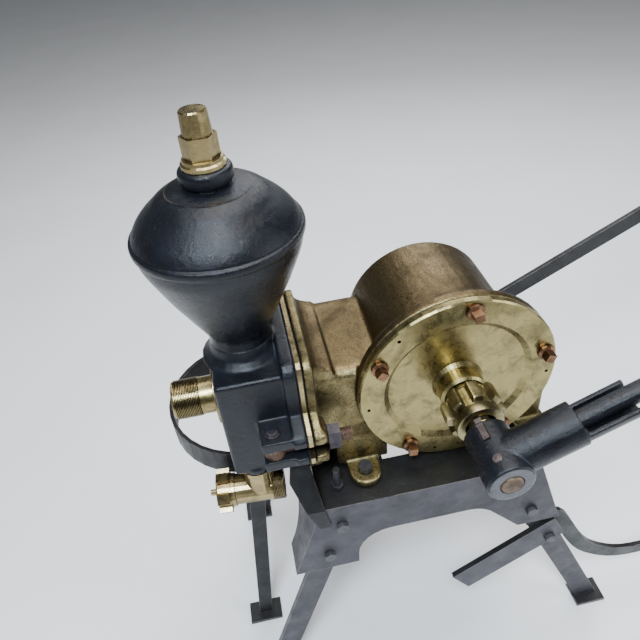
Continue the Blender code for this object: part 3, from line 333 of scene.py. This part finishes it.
def bloomed_steel(name, light, dark, metallic=0.7, pitch=None):
    """Steel with a thin brown bloom and rubbed high spots, threaded along X if pitch is given."""
    s = Shader(name, metallic, 0.5)
    colour = s.ramp(s.noise(75.0, 8.0, 0.72, 0.6), (0.34, dark), (0.62, light))
    colour = s.mix(s.edges(0.0007, 0.7), colour, brighter(light, 2.0))
    # Corners and slots darkened by ambient occlusion: painted shade, together with dirt.
    colour = s.mix(s.crevice_shade_and_dirt(0.004, 0.8), colour, brighter(dark, 0.4))
    if pitch:
        ridge = s.ridges(s.axes(s.place)[0], pitch)
        # The thread roots are painted darker: painted shade between the crests.
        colour = s.mix(s.step(ridge, 0.5, 0.1, 0.0, 0.7), colour, brighter(dark, 0.4))
        s.raise_by(ridge, 0.8, 0.0010)
    s.raise_by(s.noise(480.0, 5.0, 0.7), 0.35, 0.0008)
    return s.finish(colour, s.step(s.noise(120.0, 5.0, 0.6), 0.3, 0.7, 0.34, 0.62))


def fibre():
    s = Shader("gasket_fibre_oiled", 0.0, 0.85)
    colour = s.ramp(s.noise(240.0, 6.0, 0.7), (0.35, (0.010, 0.009, 0.008)),
                    (0.65, (0.040, 0.034, 0.028)))
    s.raise_by(s.noise(700.0, 3.0, 0.6), 0.35, 0.0006)
    return s.finish(colour)


def wood():
    """Oiled ash with grain along the grip."""
    s = Shader("ash_grip_oiled", 0.0, 0.5)
    grain = s.noise(95.0, 6.0, 0.62, 1.6, (1.0, 0.07, 1.0))
    colour = s.ramp(grain, (0.34, (0.13, 0.068, 0.030)), (0.50, (0.33, 0.195, 0.095)),
                    (0.68, (0.46, 0.30, 0.16)))
    grime = s.step(s.noise(22.0, 5.0, 0.6), 0.45, 0.75, 0.0, 0.55)
    colour = s.mix(grime, colour, (0.10, 0.058, 0.030))
    s.raise_by(grain, 0.25, 0.0008)
    return s.finish(colour, s.step(grain, 0.3, 0.7, 0.62, 0.42))


BODY = body_bronze()
COVER = cover_brass()
TEE_BRASS = threaded_brass()
YELLOW = plain_brass("yellow_brass_worn", (0.40, 0.315, 0.150), (0.165, 0.125, 0.058),
                     (0.11, 0.08, 0.036), (0.22, 0.40), 0.6)
TURNED = plain_brass("turned_brass_thread", (0.38, 0.30, 0.140), (0.17, 0.130, 0.058),
                     (0.09, 0.062, 0.028), (0.22, 0.40), 0.5)
GLAND = plain_brass("gland_brass", (0.33, 0.280, 0.145), (0.115, 0.098, 0.054),
                    (0.060, 0.050, 0.028), (0.26, 0.42), 0.8)
COPPER = plain_brass("coppery_bolts", (0.27, 0.145, 0.078), (0.12, 0.062, 0.036),
                     (0.05, 0.030, 0.019), (0.32, 0.52), 0.7)
VESSEL = black_iron("vessel_black_iron", (0.0022, 0.0024, 0.0032), (0.0070, 0.0085, 0.0125),
                    0.6, 0.34, (0.22, 0.34))
CHEST = black_iron("chest_black_iron", (0.0042, 0.0044, 0.0058), (0.0125, 0.0142, 0.0195), 1.0,
                   0.30, (0.24, 0.42))
LEVER = black_iron("lever_black_iron", (0.0030, 0.0032, 0.0040), (0.0090, 0.0105, 0.0140), 0.6,
                   0.36, (0.18, 0.32), HUB_FACE_Y)
STRAP = black_iron("strap_black_iron", (0.0035, 0.0035, 0.0038), (0.011, 0.011, 0.012), 0.8, 0.30,
                   (0.30, 0.55))
STAND = worn_paint("stand_worn_paint", (0.024, 0.022, 0.028), (0.062, 0.057, 0.070), (0.005, 0.020))
HOOK = worn_paint("hook_worn_iron", (0.018, 0.019, 0.019), (0.046, 0.049, 0.048), (0.004, 0.012))
BAR = worn_paint("bar_dark_iron", (0.007, 0.007, 0.008), (0.019, 0.020, 0.021), (0.005, 0.018))
THREADED = bloomed_steel("rusty_thread", (0.22, 0.135, 0.095), (0.085, 0.050, 0.036), 0.75,
                         SWING_THREAD_PITCH)
SHAFT = bloomed_steel("shaft_rusty_end", (0.19, 0.130, 0.085), (0.060, 0.038, 0.024), 0.8)
NUT = bloomed_steel("grey_purple_nuts", (0.110, 0.096, 0.105), (0.050, 0.043, 0.048), 0.7)
DARK_BOLT = bloomed_steel("dark_grey_bolts", (0.062, 0.060, 0.066), (0.024, 0.023, 0.026), 0.6)
GREY_BOLT = bloomed_steel("grey_bolt_heads", (0.125, 0.118, 0.128), (0.052, 0.048, 0.054), 0.65)
KEY_STEEL = bloomed_steel("dark_key_steel", (0.150, 0.120, 0.115), (0.060, 0.045, 0.042), 0.85)
FIBRE = fibre()
WOOD = wood()

FINISHES = (
    (BODY, ("pump_body", "pump_wing", "drum_partition")),
    (COVER, ("front_cover",)),
    (GLAND, ("gland_nut",)),
    (TEE_BRASS, ("suction_tee",)),
    (YELLOW, ("valve_plate", "vessel_plug", "tee_cap", "oil_collar", "suction_flap_front",
              "suction_flap_back", "delivery_flap_front", "delivery_flap_back")),
    (TURNED, ("outlet_nipple",)),
    (COPPER, ("cover_bolt_1", "cover_bolt_2", "cover_bolt_3", "cover_bolt_4", "cover_bolt_5")),
    (VESSEL, ("air_vessel",)),
    (CHEST, ("valve_chest", "swing_pin_front", "swing_pin_back")),
    (NUT, ("swing_nut_front", "swing_nut_back")),
    (THREADED, ("swing_bolt_front", "swing_bolt_back")),
    (LEVER, ("lever_hub", "lever_rod", "lever_end_tee")),
    (STRAP, ("carry_hoop", "flange_bracket")),
    (HOOK, ("hose_hook",)),
    (BAR, ("hoop_leg", "rear_bar")),
    (STAND, ("stand_frame", "diagonal_brace", "leg_front_left", "leg_back_left",
             "leg_front_right", "leg_back_right")),
    (DARK_BOLT, ("stand_stud", "foot_bolt_1", "foot_bolt_2", "foot_bolt_3", "foot_bolt_4")),
    (SHAFT, ("pump_shaft",)),
    (GREY_BOLT, ("leg_bolt_1", "leg_bolt_2", "leg_bolt_3", "brace_bolt")),
    (KEY_STEEL, ("hub_key", "hub_pin")),
    (FIBRE, ("cover_gasket", "packing_ring", "gasket_drum_side", "gasket_chest_side")),
    (WOOD, ("lever_grip",)),
)
for finish, names in FINISHES:
    for name in names:
        for material_slot in NODES[name].material_slots:
            material_slot.material = finish


# Geometry helpers -----------------------------------------------------------------------------
EDGE_WIDTH = 0.0007
EDGE_ANGLE = math.radians(38)


def new_piece(name, mesh, finish, body=STAND_BODY, stands_for=(), smooth=40):
    """A visible piece with its mesh in the row frame, riding on a body."""
    made = bpy.data.objects.new(name, mesh)
    bpy.context.scene.collection.objects.link(made)
    mesh.materials.clear()
    mesh.materials.append(finish)
    mesh.shade_smooth()
    mesh.set_sharp_from_angle(angle=math.radians(smooth))
    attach(made, body)
    if stands_for:
        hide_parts(*stands_for)
    return made


def soften(node_name):
    """A small bevel, so a CAD node's edges catch the light."""
    step = NODES[node_name].modifiers.new("edge", "BEVEL")
    step.width = EDGE_WIDTH
    step.segments = 2
    step.limit_method = "ANGLE"
    step.angle_limit = EDGE_ANGLE
    step.use_clamp_overlap = True


def cast(node_name, voxel, passes, finish, body=STAND_BODY):
    """A node's shape as a casting: remeshed and smoothed, so inside corners get fillets."""
    source = NODES[node_name]
    mesh = source.data.copy()
    holder = bpy.data.objects.new(node_name + "_cast", mesh)
    bpy.context.scene.collection.objects.link(holder)
    grid = holder.modifiers.new("grid", "REMESH")
    grid.mode = "VOXEL"
    grid.voxel_size = voxel
    relax = holder.modifiers.new("relax", "SMOOTH")
    relax.factor = 0.5
    relax.iterations = passes
    bpy.context.view_layer.update()
    graph = bpy.context.evaluated_depsgraph_get()
    result = bpy.data.meshes.new_from_object(holder.evaluated_get(graph))
    bpy.data.objects.remove(holder)
    return new_piece(node_name + "_cast", result, finish, body, (node_name,), 180)


def smooth_path(points, count):
    """Points along a smooth (Catmull-Rom) curve through the given ones."""
    padded = [points[0], *points, points[-1]]
    path = []
    for before, start, end, after in zip(padded, padded[1:], padded[2:], padded[3:]):
        for i in range(count):
            t = i / count
            path.append(tuple(
                0.5 * (2 * b + (c - a) * t + (2 * a - 5 * b + 4 * c - d) * t * t
                       + (3 * b - a - 3 * c + d) * t ** 3)
                for a, b, c, d in zip(before, start, end, after)))
    return path + [points[-1]]


def turned(profile, steps, matrix, shape=None, ring=False):
    """A surface of revolution about Z, moved by matrix; shape(r, z, angle) may change r."""
    work = bmesh.new()
    rings = []
    for radius, height in profile:
        circle = []
        for i in range(steps):
            angle = 2 * math.pi * i / steps
            r = shape(radius, height, angle) if shape else radius
            circle.append(work.verts.new((r * math.cos(angle), r * math.sin(angle), height)))
        rings.append(circle)
    pairs = list(zip(rings, rings[1:]))
    if ring:
        pairs.append((rings[-1], rings[0]))
    else:
        work.faces.new(rings[0])
        work.faces.new(rings[-1])
    for upper, lower in pairs:
        for i in range(steps):
            j = (i + 1) % steps
            work.faces.new((upper[i], lower[i], lower[j], upper[j]))
    bmesh.ops.recalc_face_normals(work, faces=work.faces)
    work.transform(matrix)
    mesh = bpy.data.meshes.new("turned")
    work.to_mesh(mesh)
    work.free()
    return mesh


def at(x, y, z, turn=None):
    """A matrix that puts a shape at a place in the pump's frame."""
    matrix = Matrix.Translation(ORIGIN + Vector((x, y, z)))
    return matrix @ turn if turn else matrix


TO_LEFT = Matrix.Rotation(-math.pi / 2, 4, "Y")
TO_FRONT = Matrix.Rotation(math.pi / 2, 4, "X")


def thread(start, end, crest, root, pitch):
    """The outline of a thread as close rings, from start to end along the axis."""
    points = []
    height = start
    while height + pitch < end:
        points += [(root, height), (crest, height + 0.35 * pitch), (crest, height + 0.55 * pitch),
                   (root, height + 0.90 * pitch)]
        height += pitch
    return points


# Gland nut ------------------------------------------------------------------------------------
NUT_PROFILE = ((0.0205, 0.0640), (0.0205, 0.0760), (0.0285, 0.0760), (0.0300, 0.0752),
               (0.0306, 0.0735), (0.0306, 0.0640), (0.0300, 0.0618), (0.0302, 0.0612),
               (0.0372, 0.0606), (0.0385, 0.0590), (0.0385, 0.0560), (0.0385, 0.0480),
               (0.0385, 0.0400), (0.0385, 0.0340), (0.0372, 0.0325), (0.0302, 0.0318),
               (0.0270, 0.0260), (0.0262, 0.0235), (0.0200, 0.0235))


RINGS_R = 0.0320
SLOT_R = 0.0290
TEETH = 8
TOOTH_PITCH = 360.0 / TEETH
TOOTH_HALF_WIDTH = 11.5
TOOTH_SIDE = 0.55


def tooth_shape(radius, height, angle):
    """Eight teeth with steep sides; the rings in front of and behind them stay round."""
    if radius <= RINGS_R:
        return radius
    across = (math.degrees(angle) + TOOTH_PITCH / 2) % TOOTH_PITCH - TOOTH_PITCH / 2
    rise = 1 / (1 + math.exp((abs(across) - TOOTH_HALF_WIDTH) / TOOTH_SIDE))
    return SLOT_R + (radius - SLOT_R) * rise


# The teeth stand higher than the CAD node's, and the bore is plain: the node's spigot and the
# wall close round the shaft are not in this piece.
castellated = turned(NUT_PROFILE, 192, at(0.0, 0.0, 0.0, TO_FRONT), tooth_shape, ring=True)
new_piece("gland_nut_toothed", castellated, GLAND, "gland_nut", ("gland_nut",), 35)

# Air vessel -----------------------------------------------------------------------------------
vessel_low, vessel_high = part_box("air_vessel")
VESSEL_BASE = Vector(((vessel_low[0] + vessel_high[0]) / 2,
                      (vessel_low[1] + vessel_high[1]) / 2, ORIGIN.z))
OUTER = ((0.0165, 0.3195), (0.0240, 0.3195), (0.0272, 0.3188), (0.0295, 0.3168), (0.0305, 0.3135),
         (0.0305, 0.3085), (0.0295, 0.3035), (0.0272, 0.3005), (0.0262, 0.2992), (0.0278, 0.2985),
         (0.0330, 0.2978), (0.0470, 0.2950), (0.0600, 0.2885), (0.0705, 0.2800), (0.0820, 0.2700),
         (0.0910, 0.2600), (0.0970, 0.2500), (0.0992, 0.2430), (0.0985, 0.2350), (0.0957, 0.2200),
         (0.0880, 0.2000), (0.0753, 0.1700), (0.0655, 0.1500), (0.0555, 0.1300), (0.0450, 0.1100),
         (0.0406, 0.0990), (0.0400, vessel_low[2] - ORIGIN.z))


BAND_Z = (0.2368, 0.2468)
GROOVE_Z = 0.2480
SHOULDER_Z = 0.29
SHOULDER_RING_R = 0.0470
SEAM_ANGLE = -82.0


def vessel_shape(radius, height, angle):
    """Mould marks: a raised band round the widest part, a thin ring above and an upright seam."""
    band = (1 / (1 + math.exp((height - BAND_Z[1]) / 0.0004))
            - 1 / (1 + math.exp((height - BAND_Z[0]) / 0.0005)))
    groove = math.exp(-((height - GROOVE_Z) / 0.0009) ** 2)
    ring = math.exp(-((radius - SHOULDER_RING_R) / 0.0006) ** 2) if height > SHOULDER_Z else 0.0
    turn = (math.degrees(angle) - SEAM_ANGLE + 180.0) % 180.0
    across = math.radians(min(turn, 180.0 - turn)) * radius
    seam = math.exp(-(across / 0.0011) ** 2)
    wave = math.sin(3 * angle + 40 * height) * 0.0003
    lift = 0.0022 * band - 0.0008 * groove + 0.0016 * ring + 0.0008 * seam
    return radius + lift + wave


vessel = turned(smooth_path(OUTER, 12), 200, Matrix.Translation(VESSEL_BASE), vessel_shape)
new_piece("air_vessel_shell", vessel, VESSEL, stands_for=("air_vessel",), smooth=60)

# Delivery nipple ------------------------------------------------------------------------------
SPIGOT = 0.0090
NIPPLE_THREAD_PITCH = 0.00215
NIPPLE = ([(0.0200, -SPIGOT), (0.0221, -SPIGOT), (0.0221, 0.0), (0.0422, 0.0), (0.0432, 0.0008),
           (0.0432, 0.0048), (0.0422, 0.0056), (0.0272, 0.0062), (0.0262, 0.0075),
           (0.0262, 0.0258), (0.0268, 0.0264)]
          + thread(0.0268, 0.0625, 0.0276, 0.0257, NIPPLE_THREAD_PITCH)
          + [(0.0262, 0.0628), (0.0250, 0.0640), (0.0206, 0.0640), (0.0200, 0.0634)])
nipple_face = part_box("outlet_nipple")[1][0] - ORIGIN.x - SPIGOT
nipple = turned(NIPPLE, 96, at(nipple_face, 0.085, -0.012, TO_LEFT), ring=True)
new_piece("outlet_nipple_threaded", nipple, TURNED, stands_for=("outlet_nipple",), smooth=30)

# Castings -------------------------------------------------------------------------------------
cast("pump_body", 0.0020, 9, BODY)
cast("valve_chest", 0.0017, 7, CHEST)
cast("lever_hub", 0.0011, 5, LEVER, "lever")

STOOD_FOR = ("air_vessel", "outlet_nipple", "gland_nut", "pump_body", "valve_chest", "lever_hub")
for name in NODES:
    if name not in STOOD_FOR:
        soften(name)


# Camera, floor and light ----------------------------------------------------------------------
CAMERA_YAW, CAMERA_DOWN, CAMERA_ROLL = 7.0034, 38.6462, -6.1304
CAMERA_PLACE = ORIGIN + Vector((-0.2415, -0.5373, 0.5834))
LENS_MM, SENSOR_MM = 34.06, 36.0
FLOOR_HALF_WIDTH = 25.0
WORLD_COLOUR, WORLD_STRENGTH = (0.92, 0.95, 1.0, 1.0), 0.15

# Name, place, where it aims, size, power, colour.
LIGHTS = (
    ("overhead", (0.0, 0.5, 3.4), (-0.1, 0.2, 0.4), (2.0, 2.0), 115.0, (1.0, 1.0, 1.0)),
    ("key", (-0.75, -1.25, 2.6), (-0.3, 0.05, 0.75), (0.6, 0.6), 95.0, (0.76, 0.87, 1.0)),
    ("side", (1.9, -1.1, 1.3), (0.0, 0.0, 0.6), (0.8, 1.6), 26.0, (0.90, 0.95, 1.0)),
    ("back", (0.5, 2.2, 1.9), (-0.1, 0.0, 0.7), (1.6, 0.7), 24.0, (0.95, 0.97, 1.0)),
)


def camera():
    """The photograph's view of the pump."""
    yaw, down, roll = (math.radians(value) for value in (CAMERA_YAW, CAMERA_DOWN, CAMERA_ROLL))
    forward = Vector((math.sin(yaw) * math.cos(down), math.cos(yaw) * math.cos(down),
                      -math.sin(down)))
    level = Vector((math.cos(yaw), -math.sin(yaw), 0.0))
    above = level.cross(forward)
    right = level * math.cos(roll) + above * math.sin(roll)
    up = above * math.cos(roll) - level * math.sin(roll)
    made = bpy.data.objects.new("camera", bpy.data.cameras.new("camera"))
    made.data.lens = LENS_MM
    made.data.sensor_width = SENSOR_MM
    placed = Matrix((right, up, -forward)).transposed().to_4x4()
    placed.translation = CAMERA_PLACE
    made.matrix_world = placed
    bpy.context.scene.collection.objects.link(made)
    bpy.context.scene.camera = made


def pale_floor():
    work = bmesh.new()
    bmesh.ops.create_grid(work, x_segments=1, y_segments=1, size=FLOOR_HALF_WIDTH)
    mesh = bpy.data.meshes.new("floor")
    work.to_mesh(mesh)
    work.free()
    made = bpy.data.objects.new("floor", mesh)
    bpy.context.scene.collection.objects.link(made)
    s = Shader("pale_floor", 0.0, 0.85)
    mesh.materials.append(s.finish(s.ramp(s.noise(3.0, 4.0, 0.5), (0.3, (0.88, 0.88, 0.87)),
                                          (0.7, (0.92, 0.92, 0.91)))))


def area_light(name, place, aim, size, power, colour):
    lamp = bpy.data.lights.new(name, "AREA")
    lamp.shape = "RECTANGLE"
    lamp.size, lamp.size_y = size
    lamp.energy = power
    lamp.color = colour
    made = bpy.data.objects.new(name, lamp)
    made.location = place
    made.rotation_euler = (Vector(aim) - Vector(place)).to_track_quat("-Z", "Y").to_euler()
    bpy.context.scene.collection.objects.link(made)


def studio():
    world = bpy.data.worlds.new("studio")
    world.use_nodes = True
    background = world.node_tree.nodes["Background"]
    background.inputs["Color"].default_value = WORLD_COLOUR
    background.inputs["Strength"].default_value = WORLD_STRENGTH
    bpy.context.scene.world = world
    for light in LIGHTS:
        area_light(*light)


camera()
pale_floor()
studio()
